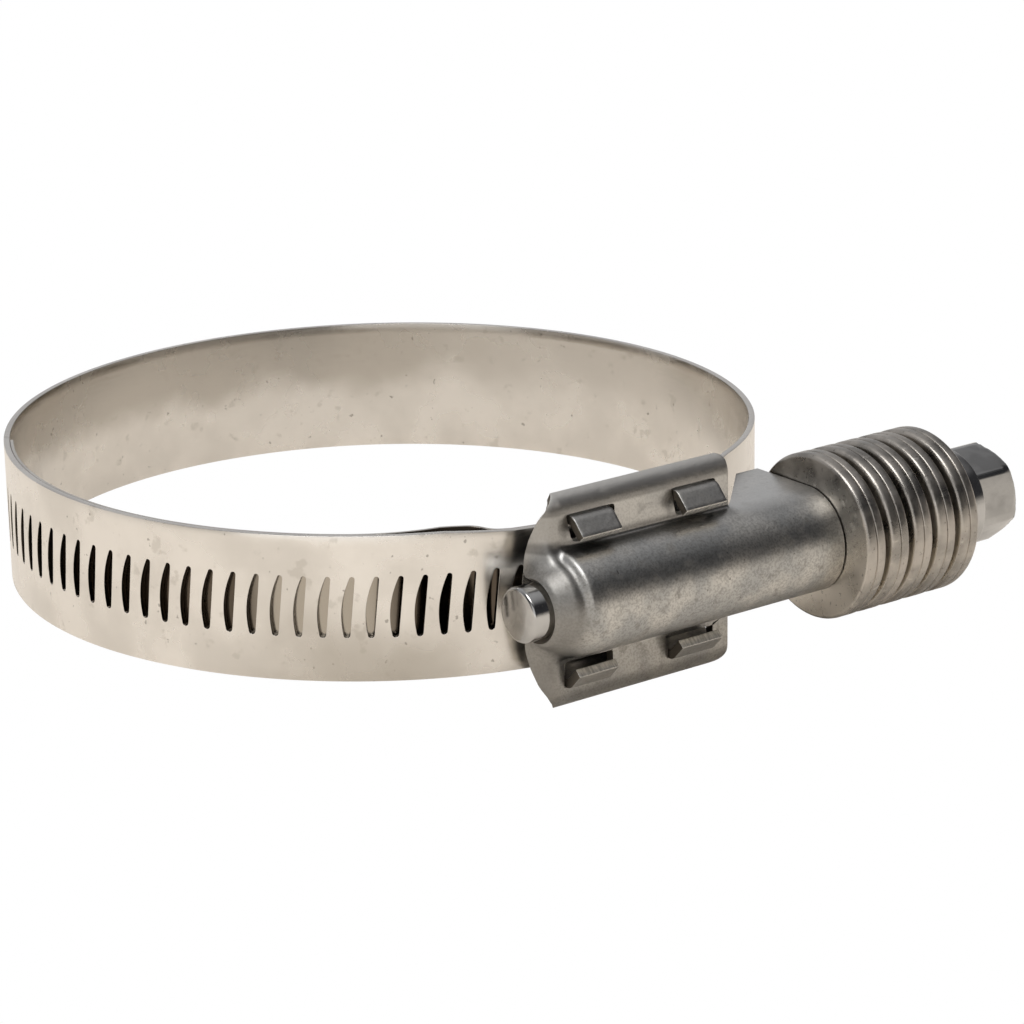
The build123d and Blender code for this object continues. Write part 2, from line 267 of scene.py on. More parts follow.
def make_band():
    """The strip on its path. Each slot's cell blends from the slot's outline to the cell's rectangle,
    and the rest is a plain grid, all on the unrolled strip, where s runs from the tail."""
    moves = strip_moves()
    total = path_length(moves)
    mid = RING_RADIUS - BAND_THICKNESS / 2
    width = SLOT_STEP * mid
    first = math.radians(77.8 - 74.0) * mid
    side, end, rings = 16, 6, np.array([0.0, 0.12, 0.45, 1.0])
    slot, cell = slot_outline(side, end), cell_outline(width, side, end)
    slot[:, 0] *= -1
    cell[:, 0] *= -1
    patch = slot[None] + (cell - slot)[None] * rings[:, None, None]
    centers = first + np.arange(SLOT_COUNT) * width
    s = centers[:, None, None] + patch[None, :, :, 0]
    z = np.broadcast_to(patch[None, :, :, 1], s.shape)
    around = 2 * (side + end)
    points, faces, start = [], [], 0
    quads = grid_faces(len(rings), around, wrap_columns=True)
    points.append(np.stack([s, z], -1).reshape(-1, 2))
    for k in range(SLOT_COUNT):
        faces.append(quads + k * len(rings) * around)
    start = SLOT_COUNT * len(rings) * around
    # Margins above and below the slots, then the plain lengths at each end
    slot_from, slot_to = centers[0] - width / 2, centers[-1] + width / 2
    columns = np.linspace(slot_from, slot_to, SLOT_COUNT * end + 1)
    for low, high in ((-BAND_WIDTH / 2, -CELL_HIGH), (CELL_HIGH, BAND_WIDTH / 2)):
        rows = np.linspace(low, high, 4)
        ss, zz = np.meshgrid(columns, rows, indexing="ij")
        points.append(np.stack([ss, zz], -1).reshape(-1, 2))
        faces.append(grid_faces(len(columns), len(rows), start=start))
        start += ss.size
    sides = np.linspace(-CELL_HIGH, CELL_HIGH, side + 1)
    rows = np.concatenate([np.linspace(-BAND_WIDTH / 2, -CELL_HIGH, 4)[:-1], sides,
                           np.linspace(CELL_HIGH, BAND_WIDTH / 2, 4)[1:]])
    for a, b in ((0.0, slot_from), (slot_to, total)):
        columns = np.linspace(a, b, max(3, int((b - a) / 0.8)))
        ss, zz = np.meshgrid(columns, rows, indexing="ij")
        points.append(np.stack([ss, zz], -1).reshape(-1, 2))
        faces.append(grid_faces(len(columns), len(rows), start=start))
        start += ss.size
    flat = np.concatenate(points)
    s = flat[:, 0] - width * np.interp((flat[:, 0] - DRIFT_START) / width, DRIFT_PLACES, DRIFT_SHARES)
    x, y = along_path(math.radians(-74.0), moves, s, 0.0)
    # The upper margin is narrower than the lower one, most of all beside the housing
    high = upper_edge(np.arctan2(y, x))
    z = np.where(flat[:, 1] > CELL_HIGH,
                 CELL_HIGH + (flat[:, 1] - CELL_HIGH) * (high - CELL_HIGH) / (BAND_WIDTH / 2 - CELL_HIGH),
                 flat[:, 1])
    piece = add_mesh("band_strip", np.stack([x, y, z], -1), np.concatenate(faces), "frame",
                     ["band"])
    outward(piece)
    solid = piece.modifiers.new("wall", "SOLIDIFY")
    solid.thickness = BAND_THICKNESS * MM
    solid.offset = 0.0
    bevel(piece, 0.07, 2, 40)
    return piece


def make_liner():
    """Plain strip on the liner's path."""
    moves = liner_moves()
    columns = np.linspace(0, path_length(moves), 360)
    rows = np.linspace(-7.75, 7.75, 9)
    ss, zz = np.meshgrid(columns, rows, indexing="ij")
    x, y = along_path(math.radians(-79.0), moves, ss.ravel(), 0.0)
    high = upper_edge(np.arctan2(y, x)) - 0.05
    z = -7.75 + (zz.ravel() + 7.75) * (high + 7.75) / 15.5
    piece = add_mesh("liner_strip", np.stack([x, y, z], -1),
                     grid_faces(len(columns), len(rows)), "frame", ["liner"])
    outward(piece)
    solid = piece.modifiers.new("wall", "SOLIDIFY")
    solid.thickness = 0.40 * MM
    solid.offset = 0.0
    bevel(piece, 0.06, 2, 40)
    return piece


# ---- Housing ----

SHEET = 1.05
FLANGE_OUT = 45.0
FLAT_HALF = 9.35
MARGIN_RADIUS = 2.4
ARCH_RADIUS = 5.7
FLANGE_END = 12.44
BODY_START = -9.14
HOUSING_END = 23.6
TAB_SLOTS = ((-9.14, -2.5), (4.4, 10.75))
SLOT_INNER, SLOT_OUTER = 6.2, 9.25


def arch_at(x, plain=0.0):
    """Outer radius of the arch at x: front cone, ridge, valley and shoulder, with their corners eased
    by averaging over a short length. Where plain is 1 it is one long easy cone instead."""
    stations = [-12.78, -12.66, -12.45, -11.3, -10.95, -10.6, -10.2, -9.9, -9.5, -9.15, -8.2, 24.0]
    ridged = [3.3, 3.55, 3.78, 4.6, 4.86, 4.94, 4.92, 5.12, 5.6, 5.7, 5.7, 5.7]
    easy = [3.3, 3.5, 3.72, 4.46, 4.66, 4.84, 5.02, 5.15, 5.33, 5.47, 5.7, 5.7]
    radii = np.array(ridged) * (1 - plain) + np.array(easy) * plain
    shifts = (-0.14, -0.07, 0.0, 0.07, 0.14)
    return sum(np.interp(x + shift, stations, radii) for shift in shifts) / len(shifts)


def base_at(x):
    """Outer height of the flange at x: flat, then bent down at the foot by 48 degrees."""
    bend, slope = 2.0, math.radians(48.0)
    run = np.clip(-9.6 - x, 0, None)
    arc = FLANGE_OUT - bend + np.sqrt(np.clip(bend ** 2 - np.minimum(run, bend * math.sin(slope)) ** 2, 0, None))
    return arc - np.clip(run - bend * math.sin(slope), 0, None) * math.tan(slope)


def root_at(x):
    """Radius of the hollow between arch and flange at x, which widens over the nose."""
    return np.interp(x, [-12.9, -12.2, -11.2, -10.2, -9.3, -8.3], [0.8, 2.4, 3.0, 2.0, 0.8, 0.45])


def section_point(zone, p, x, side=1):
    """Point of the outer section at x, as (z, out). The zones run from the top of the arch outwards:
    arc of the arch, hollow of the root, flat of the flange, bend of the margin; or skirt."""
    plain = (0.0 if side > 0 else min(1.0, 3 * p)) if zone == "arch" else float(side < 0)
    radius, base, root = arch_at(x, plain), base_at(x), root_at(x)
    lift = base + root - SCREW_OUT
    side = np.sqrt((radius + root) ** 2 - lift ** 2)
    touch = np.arccos(lift / (radius + root))
    if zone == "arch":
        return radius * np.sin(p * touch), SCREW_OUT + radius * np.cos(p * touch)
    if zone == "root":
        first = np.pi + np.arctan2(lift, side)
        angle = first + p * (1.5 * np.pi - first)
        return side + root * np.cos(angle), base + root + root * np.sin(angle)
    if zone == "flat":
        return side + (FLAT_HALF - side) * p, base
    if zone == "margin":
        angle = p * math.radians(61.0)
        z = np.full(x.shape, FLAT_HALF + MARGIN_RADIUS * math.sin(angle))
        return z, base - MARGIN_RADIUS * (1 - math.cos(angle))
    drop = p * 8.65
    out = np.clip(SCREW_OUT + radius * np.cos(touch) - drop, SCREW_OUT - 8.15, None)
    z = np.where(out > SCREW_OUT, np.sqrt(np.clip(radius ** 2 - (out - SCREW_OUT) ** 2, 0, None)), radius)
    return z, out


def foot_edge(z):
    """Where the foot's left edge lies at a given z."""
    return np.interp(np.abs(z), [0, 3.75, 5.2, 7.0, 8.8, 10.4, 11.45],
                     [-12.55, -12.53, -12.4, -12.05, -11.5, -10.6, -9.7])


def left_edge(zone, p):
    """Where the column's first point lies: on the nose's hole, or on the foot's edge."""
    hole = -12.78
    if zone == "arch":
        return hole
    edge = -12.5
    for _ in range(8):
        z, _out = section_point(zone, p, np.array([edge]))
        edge = float(foot_edge(z[0]))
    if zone == "root":
        return hole + (edge - hole) * p * p * (3 - 2 * p)
    return edge


def body_rows():
    """Stations along the body, with lines at the slots' edges and at their rounded corners."""
    marks = [BODY_START]
    for a, b in TAB_SLOTS:
        marks += [a, a + 0.35, (a + b) / 2 - 1.6, (a + b) / 2, (a + b) / 2 + 1.6, b - 0.35, b]
    marks += [-1.9, 0.0, 1.5, 2.8, 3.9, 11.6, 12.1, FLANGE_END]
    return np.array(sorted(set(marks)))


def make_housing():
    """The outer skin as a grid of columns across and rows along, given the sheet's thickness inwards.
    Each column's rows begin at its own left edge, and the margins' rows end on a rounded corner."""
    nose = np.array([0, 0.012, 0.03, 0.055, 0.09, *np.linspace(0.13, 1.0, 26)])
    body = body_rows()
    after = np.linspace(FLANGE_END, HOUSING_END, 14)[1:]
    columns = [("arch", p) for p in np.linspace(0, 1, 26)]
    columns += [("root", p) for p in np.linspace(0, 1, 9)[1:]]
    flats = np.array([SLOT_INNER, 6.55, 7.1, 7.7, 8.3, 8.9, SLOT_OUTER, FLAT_HALF])
    inner = float(section_point("flat", 0.0, np.array([0.0]))[0][0])
    columns += [("flat", (z - inner) / (FLAT_HALF - inner)) for z in flats]
    columns += [("margin", p) for p in np.linspace(0, 1, 10)[1:]]
    arch_count = 26
    points, faces = [], []
    for side in (1, -1):
        grid = []
        for zone, p in columns:
            at_body = section_point(zone, p, np.array([0.0]))[0][0]
            weight = min(max((at_body - SLOT_OUTER) / (11.45 - SLOT_OUTER), 0.0), 1.0)
            first = left_edge(zone, p)
            join = BODY_START + weight * 3.0
            x = np.concatenate([first + nose * (join - first), join + (body[1:] - BODY_START)
                                * (FLANGE_END - join) / (FLANGE_END - BODY_START)])
            corner = 0.9 if side > 0 else 1.6
            if at_body > 11.45 - corner:
                short = corner - math.sqrt(max(corner ** 2 - (at_body - 11.45 + corner) ** 2, 0.0))
                x -= short * np.clip((x - 9.0) / (FLANGE_END - 9.0), 0, 1) ** 2
            z, out = section_point(zone, p, x, side)
            grid.append(np.stack([x, -np.broadcast_to(out, x.shape), side * np.broadcast_to(z, x.shape)], -1))
        grid = np.array(grid)
        rows = grid.shape[1]
        # Rounded corners of the tab slots, then the quads outside the slots
        across = arch_count + 8 + np.arange(len(flats))
        names = {float(z): int(c) for z, c in zip(flats, across)}
        low, high = names[SLOT_INNER], names[SLOT_OUTER]
        keep = np.ones((len(columns) - 1, rows - 1), bool)
        for a, b in TAB_SLOTS:
            i = len(nose) - 1 + int(np.argmin(np.abs(body - a)))
            j = len(nose) - 1 + int(np.argmin(np.abs(body - b)))
            keep[low:high, i:j] = False
            slant = np.linspace(1.0, 0.0, high - low + 1)
            if side > 0:
                grid[low:high + 1, i, 0] += 0.4 + 0.75 * slant
                grid[low:high + 1, i + 1, 0] += 0.3 + 0.6 * slant
            else:
                grid[high, i:j + 1, 2] += 0.22
                grid[low:high + 1, j, 0] -= 0.35
                grid[low, i:j + 1, 2] -= 0.15 if a < 0 else 0.55
            for row, way in ((i, 1), (j, -1)):
                grid[low, row] += (0.1 * way, 0, 0.1 * side)
                grid[high, row] += (0.1 * way, 0, -0.1 * side)
        quads = grid_faces(len(columns), rows).reshape(len(columns) - 1, rows - 1, 4)[keep]
        start = sum(len(block) for block in points)
        points.append(grid.reshape(-1, 3))
        faces.append(quads + start)
        # Extension: the arch goes on, and a skirt hangs from each of its sides
        more = [("arch", p) for p in np.linspace(0, 1, 26)] + [("skirt", p) for p in np.linspace(0, 1, 20)[1:]]
        grid = []
        for zone, p in more:
            x = np.concatenate([[FLANGE_END], after])
            z, out = section_point(zone, p, np.full(x.shape, 15.0))
            if zone == "skirt":
                edge = float(np.interp(-out[0], [-45.0, -44.6, -44.1, -43.5, -36.8],
                                       [12.5, 12.8, 13.35, 14.05, 20.6]))
                x = edge + (x - FLANGE_END) * (HOUSING_END - edge) / (HOUSING_END - FLANGE_END)
            grid.append(np.stack([x, -out, side * z], -1))
        start = sum(len(block) for block in points)
        points.append(np.array(grid).reshape(-1, 3))
        faces.append(grid_faces(len(more), len(after) + 1, start=start))
    piece = add_mesh("pressed_housing", np.concatenate(points), np.concatenate(faces), "frame",
                     ["housing"])
    outward(piece)
    face_out(piece)
    solid = piece.modifiers.new("wall", "SOLIDIFY")
    solid.thickness = SHEET * MM
    solid.offset = -1.0
    solid.material_offset_rim = 1
    bevel(piece, 0.16, 3, 40)
    return piece


def make_saddle():
    """Middle surface of the saddle, given its thickness both ways: a base on the cylinder
    out = sqrt(39.37^2 - x^2), two slanted walls, and tabs rounded over by 47 degrees."""
    tabs = ((-8.3, -3.2), (5.1, 10.5))
    x_lines = np.array([-8.3, -7.9, -6.9, -5.7, -4.6, -3.6, -3.2, -1.0, 1.0, 3.0, 5.1, 5.5, 6.6, 7.8, 9.0,
                        10.1, 10.5, 11.9])
    turn = np.radians(np.linspace(47.0, 0.0, 9))
    fold = [(7.8 + 0.8 * math.cos(a), 45.05 + 0.8 * math.sin(a)) for a in turn]
    end = np.array(fold[0]) + 1.85 * np.array([-math.sin(turn[0]), math.cos(turn[0])])
    tab = [tuple(end + (np.array(fold[0]) - end) * p) for p in (0.0, 0.25, 0.6)] + fold
    wall = [(8.6, 44.5), (8.6, 43.85), (8.6, 43.2), (8.6, 42.0), (8.6, 41.0)]
    half = tab + wall
    count = len(half)
    rounding = np.radians(np.linspace(0, 90, 6))
    points, faces = [], []
    for side in (1, -1):
        grid = []
        for z, out in half:
            low = max(0.0, min(1.0, (43.85 - out) / 5.45))
            x = x_lines * (1 - low) + (-4.0 + (x_lines + 8.3) * 15.6 / 20.2) * low
            if side < 0 and out > 44.0:
                x = x - np.interp(x, [5.0, 9.0, 10.5, 10.9], [0.6, 0.5, 0.6, 0.0])
            grid.append(np.stack([x, np.full(x.shape, -out), np.full(x.shape, side * z)], -1))
        low = 0.85
        x = x_lines * (1 - low) + (-4.0 + (x_lines + 8.3) * 15.6 / 20.2) * low
        base = np.sqrt(39.37 ** 2 - x ** 2)
        for a in rounding:
            z = 7.8 + 0.8 * math.cos(a)
            grid.append(np.stack([x, -(base + 0.8 - 0.8 * math.sin(a)), np.full(x.shape, side * z)], -1))
        for z in (6.0, 4.0, 2.0, 0.0):
            grid.append(np.stack([x, -base, np.full(x.shape, side * z)], -1))
        grid = np.array(grid)
        keep = np.ones((len(grid) - 1, len(x_lines) - 1), bool)
        for k in range(len(x_lines) - 1):
            center = (x_lines[k] + x_lines[k + 1]) / 2
            if not any(a < center < b for a, b in tabs):
                keep[:count - 4, k] = False
        quads = grid_faces(len(grid), len(x_lines)).reshape(len(grid) - 1, len(x_lines) - 1, 4)[keep]
        start = sum(len(block) for block in points)
        points.append(grid.reshape(-1, 3))
        faces.append(quads + start)
    piece = add_mesh("saddle_plate", np.concatenate(points), np.concatenate(faces), "frame",
                     ["saddle"])
    outward(piece)
    face_out(piece)
    solid = piece.modifiers.new("wall", "SOLIDIFY")
    solid.thickness = 1.0 * MM
    solid.offset = 0.0
    solid.material_offset_rim = 1
    bevel(piece, 0.1, 2, 40)
    return piece


# ---- Screw and disc springs ----

DISC_START, DISC_PITCH, DISC_CONE, DISC_THICK = 23.65, 1.655, 0.40, 1.25


def make_discs():
    """Each disc spring is a turned section: a coned washer with rounded rims."""
    made = []
    for number in range(10):
        start = DISC_START + number * DISC_PITCH
        bore, rim = (start, start + DISC_CONE) if number % 2 == 0 else (start + DISC_CONE, start)
        t = DISC_THICK
        corners = [(bore + t / 2, 4.65), (bore + t, 4.65), (rim + t, 8.97), (rim, 8.97),
                   (bore, 4.65), (bore + t / 2, 4.65)]
        # Rims that face a gap are worn rounder than rims that touch
        left, right = (0.5, 0.22) if number % 2 == 0 else (0.22, 0.5)
        profile = rounded_profile(corners, [0, 0.15, right, left, 0.15, 0], 6)[:-1]
        points = turned(profile, 128)
        body = "stack_end" if number == 9 else f"disc_spring_{number + 1:02d}"
        faces = grid_faces(len(profile), 128, wrap_rows=True, wrap_columns=True)
        piece = add_mesh(f"spring_disc_{number + 1:02d}", points, faces, body,
                         [f"disc_spring_{number + 1:02d}"])
        outward(piece)
        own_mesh(piece)
        made.append(piece)
    return made


def make_screw():
    """Turned tip, worm, shank and collar, then the hex. The worm's radius at station x and angle t is
    the root's plus a ridge whose middle lies at x = start + pitch ((pi/2 - t) / 2 pi + k). The hex's
    radius at each angle is the smaller of the hexagon's and the chamfer cone's."""
    around = 96
    front = rounded_profile([(-14.89, 0.0), (-14.89, 2.9), (-7.9, 2.9), (-7.9, 2.32)], [0, 0.38, 0.1, 0], 6)
    stations = np.linspace(-7.88, 13.3, 230)
    back = rounded_profile([(13.4, 2.32), (14.4, 4.55), (40.2, 4.55), (40.2, 5.8), (43.95, 5.8),
                            (43.95, 5.2)], [0, 0.2, 0.1, 0.25, 0.7, 0], 6)
    t = np.linspace(0, 2 * np.pi, around, endpoint=False)
    phase = (stations[:, None] + 6.9) / 2.54 - (np.pi / 2 - t[None]) / (2 * np.pi)
    away = np.abs((phase + 0.5) % 1.0 - 0.5) * 2.54
    ridge = np.clip((0.65 - away) / 0.4, 0, 1)
    fade = np.clip((stations + 7.4) / 0.8, 0, 1) * np.clip((9.9 - stations) / 0.8, 0, 1)
    worm = 2.32 + 0.8 * ridge * fade[:, None]
    x = np.concatenate([front[:, 0], stations, back[:, 0]])
    r = np.concatenate([np.repeat(front[:, 1:2], around, 1), worm, np.repeat(back[:, 1:2], around, 1)])
    x = np.repeat(x[:, None], around, 1)
    round_part = np.stack([x, -(SCREW_OUT + r * np.cos(t)), r * np.sin(t)], -1).reshape(-1, 3)
    faces = [grid_faces(len(x), around, wrap_columns=True)]
    # Hex, with grid lines close to both sides of each corner
    flat = 9.525 / 2
    base = np.radians([-30, -29.2, -28.2, -24, -12, 0, 12, 24, 28.2, 29.2])
    t = (base[None] + np.radians(60.0) * np.arange(6)[:, None]).ravel()
    local = (t + math.pi / 6) % (math.pi / 3) - math.pi / 6
    hexagon = np.minimum(flat / np.cos(local), 5.38)
    stations = np.array([43.5, 44.2, 46.0, 48.0, 48.85, 49.05, 49.2, 49.3, 49.34, 49.35, 49.35])
    limits = np.array([9, 9, 9, 9, 5.38, 5.17, 4.98, 4.8, 4.6, 3.2, 0.001])
    r = np.minimum(hexagon[None], limits[:, None])
    angle = t + math.radians(42.0 + 30.0)
    x = np.repeat(stations[:, None], len(t), 1)
    hex_part = np.stack([x, -(SCREW_OUT + r * np.cos(angle)), r * np.sin(angle)], -1).reshape(-1, 3)
    faces.append(grid_faces(len(stations), len(t), wrap_columns=True, start=len(round_part)))
    piece = add_mesh("worm_screw", np.concatenate([round_part, hex_part]), np.concatenate(faces),
                     "screw", ["screw"])
    outward(piece)
    for face in piece.data.polygons:
        if face.center.x < -14.75 * MM:
            face.material_index = 1
    return piece


# ---- Materials ----

def linear(code):
    """sRGB hex to linear colour."""
    c = [int(code[k:k + 2], 16) / 255 for k in (1, 3, 5)]
    return [v / 12.92 if v <= 0.04045 else ((v + 0.055) / 1.055) ** 2.4 for v in c] + [1.0]


def node(tree, kind, settings=None, **links):
    """Adds a node. Settings are its own properties or its sockets' values; links name the sockets
    that it takes from others."""
    made = tree.nodes.new(kind)
    for key, value in (settings or {}).items():
        if key in made.inputs.keys():
            made.inputs[key].default_value = value
        elif isinstance(key, int):
            made.inputs[key].default_value = value
        else:
            setattr(made, key, value)
    for key, source in links.items():
        spot = int(key[1:]) if key[0] == "_" and key[1:].isdigit() else key.replace("_", " ")
        tree.links.new(source, made.inputs[spot])
    return made


def pattern(tree, size_mm, detail=3.0, stretch=(1, 1, 1), shift=0.0, rough=0.55):
    """Noise in object coordinates whose features are about the given size in millimetres."""
    place = node(tree, "ShaderNodeTexCoord")
    scale = [k / (size_mm * MM) for k in stretch]
    moved = node(tree, "ShaderNodeMapping", {"Scale": scale, "Location": (shift, shift * 0.7, -shift)},
                 Vector=place.outputs["Object"])
    return node(tree, "ShaderNodeTexNoise", {"Scale": 1.0, "Detail": detail, "Roughness": rough},
                Vector=moved.outputs[0]).outputs[0]


def between(tree, value, low, high, start=0.0, end=1.0):
    """Value's rise from low to high, smoothed, as a number from start to end."""
    made = node(tree, "ShaderNodeMapRange", {"interpolation_type": "SMOOTHSTEP", "From Min": low,
                "From Max": high, "To Min": start, "To Max": end}, Value=value)
    return made.outputs[0]


def blend(tree, factor, first, second):
    """Colour that goes from the first to the second, each a hex colour or a socket."""
    made = node(tree, "ShaderNodeMix", {"data_type": "RGBA"})
    tree.links.new(factor, made.inputs[0])
    for spot, color in ((6, first), (7, second)):
        if isinstance(color, str):
            made.inputs[spot].default_value = linear(color)
        else:
            tree.links.new(color, made.inputs[spot])
    return made.outputs[2]


def relief(tree, shader, height, depth_mm):
    """Bumps of the given depth."""
    bump = node(tree, "ShaderNodeBump", {"Strength": 1.0, "Distance": depth_mm * MM}, Height=height)
    tree.links.new(bump.outputs[0], shader.inputs["Normal"])


def metal(name, metallic=1.0):
    """A new material with its shader and node tree."""
    material = bpy.data.materials.new(name)
    material.use_nodes = True
    shader = material.node_tree.nodes["Principled BSDF"]
    shader.inputs["Metallic"].default_value = metallic
    return material, material.node_tree, shader


def rolled_stainless():
    """Bright annealed stainless strip: cream grey, faintly stained, with dark specks."""
    material, tree, shader = metal("stainless_strip_mill_finish")
    cloud = between(tree, pattern(tree, 9.0, 4.0), 0.35, 0.65)
    stain = between(tree, pattern(tree, 2.2, 3.0, shift=5.0), 0.60, 0.72)
    speck = between(tree, pattern(tree, 0.8, 2.0, shift=11.0), 0.69, 0.76)
    grain = pattern(tree, 0.35, 2.0, (0.08, 0.08, 1.0))
    color = blend(tree, cloud, "#cecac4", "#dfdbd5")
    color = blend(tree, between(tree, stain, 0.0, 1.0, 0.0, 0.35), color, "#aaa59c")
    # Inside face: where the normal points at the hose axis. Its upper half is painted greyer, a painted
    # reflection of the darker near wall
    face = node(tree, "ShaderNodeNewGeometry")
    place = node(tree, "ShaderNodeTexCoord").outputs["Object"]
    facing = node(tree, "ShaderNodeVectorMath", {"operation": "DOT_PRODUCT"}, _0=face.outputs["True Normal"],
                  _1=place).outputs["Value"]
    inside = between(tree, facing, 0.01, -0.01)
    part = node(tree, "ShaderNodeSeparateXYZ", None, Vector=place).outputs
    across, upward = part["X"], part["Z"]
    wavy = node(tree, "ShaderNodeMath", {"operation": "MULTIPLY_ADD", 1: 0.012, 2: -0.006},
                _0=pattern(tree, 14.0, 3.0, shift=2.5)).outputs[0]
    level = node(tree, "ShaderNodeMath", {"operation": "ADD"}, _0=upward, _1=wavy).outputs[0]
    painted_reflection = node(tree, "ShaderNodeMath", {"operation": "MULTIPLY"}, _0=inside,
                _1=between(tree, level, -1.5 * MM, 2.5 * MM, 0.0, 0.75)).outputs[0]
    painted_reflection = node(tree, "ShaderNodeMath", {"operation": "MULTIPLY"}, _0=painted_reflection,
                _1=between(tree, across, 40 * MM, 24 * MM, 0.3, 1.0)).outputs[0]
    color = blend(tree, painted_reflection, color, "#aca69d")
    # The lower half of the front is painted darker as painted shade, less so towards the left and beside the
    # housing
    painted_lower_shade = node(tree, "ShaderNodeMath", {"operation": "MULTIPLY"},
                 _0=between(tree, level, 1.0 * MM, -6.0 * MM, 0.0, 0.65),
                 _1=between(tree, across, -38 * MM, -26 * MM)).outputs[0]
    painted_lower_shade = node(tree, "ShaderNodeMath", {"operation": "MULTIPLY"}, _0=painted_lower_shade,
                 _1=between(tree, across, -12 * MM, -22 * MM)).outputs[0]
    painted_lower_shade = node(tree, "ShaderNodeMath", {"operation": "MULTIPLY"}, _0=painted_lower_shade,
                 _1=between(tree, facing, -0.01, 0.01)).outputs[0]
    color = blend(tree, painted_lower_shade, color, "#a09a90")
    # Walls of the slots, which face neither outwards nor inwards nor up or down, painted dark: painted shade in
    # the slots, together with their dark burr
    off = node(tree, "ShaderNodeMath", {"operation": "ABSOLUTE"}, _0=facing).outputs[0]
    steep = node(tree, "ShaderNodeSeparateXYZ", None, Vector=face.outputs["True Normal"]).outputs["Z"]
    steep = node(tree, "ShaderNodeMath", {"operation": "ABSOLUTE"}, _0=steep).outputs[0]
    wall = node(tree, "ShaderNodeMath", {"operation": "MULTIPLY"}, _0=between(tree, off, 0.022, 0.01),
                _1=between(tree, steep, 0.97, 0.85)).outputs[0]
    color = blend(tree, wall, color, "#4a443d")
    color = blend(tree, between(tree, speck, 0.0, 1.0, 0.0, 0.6), color, "#7d7972")
    tree.links.new(color, shader.inputs["Base Color"])
    rough = node(tree, "ShaderNodeMath", {"operation": "MULTIPLY_ADD", 1: 0.12, 2: 0.19}, _0=cloud)
    tree.links.new(rough.outputs[0], shader.inputs["Roughness"])
    relief(tree, shader, grain, 0.004)
    return material


def thin_stainless():
    """Liner strip: the same steel, smoother and brighter."""
    material, tree, shader = metal("stainless_liner_bright_rolled")
    cloud = between(tree, pattern(tree, 6.0, 3.0, shift=3.0), 0.35, 0.65)
    # Outer face, seen through the slots: where the normal points away from the hose axis. It is painted dark as
    # painted shade in the slots, and lighter over one stretch as painted light
    place = node(tree, "ShaderNodeTexCoord").outputs["Object"]
    face = node(tree, "ShaderNodeNewGeometry").outputs["True Normal"]
    facing = node(tree, "ShaderNodeVectorMath", {"operation": "DOT_PRODUCT"}, _0=face,
                  _1=place).outputs["Value"]
    outer = between(tree, facing, 0.01, 0.03)
    across = node(tree, "ShaderNodeSeparateXYZ", None, Vector=place).outputs["X"]
    slot_light = node(tree, "ShaderNodeMath", {"operation": "MULTIPLY"},
                _0=between(tree, across, -34 * MM, -31 * MM),
                _1=between(tree, across, -21 * MM, -25 * MM)).outputs[0]
    shade = blend(tree, slot_light, "#544c43", "#a59e93")
    color = blend(tree, outer, blend(tree, cloud, "#c6c1b9", "#d6d1c9"), shade)
    tree.links.new(color, shader.inputs["Base Color"])
    shader.inputs["Roughness"].default_value = 0.18
    relief(tree, shader, pattern(tree, 0.4, 2.0, (0.08, 0.08, 1.0)), 0.003)
    return material


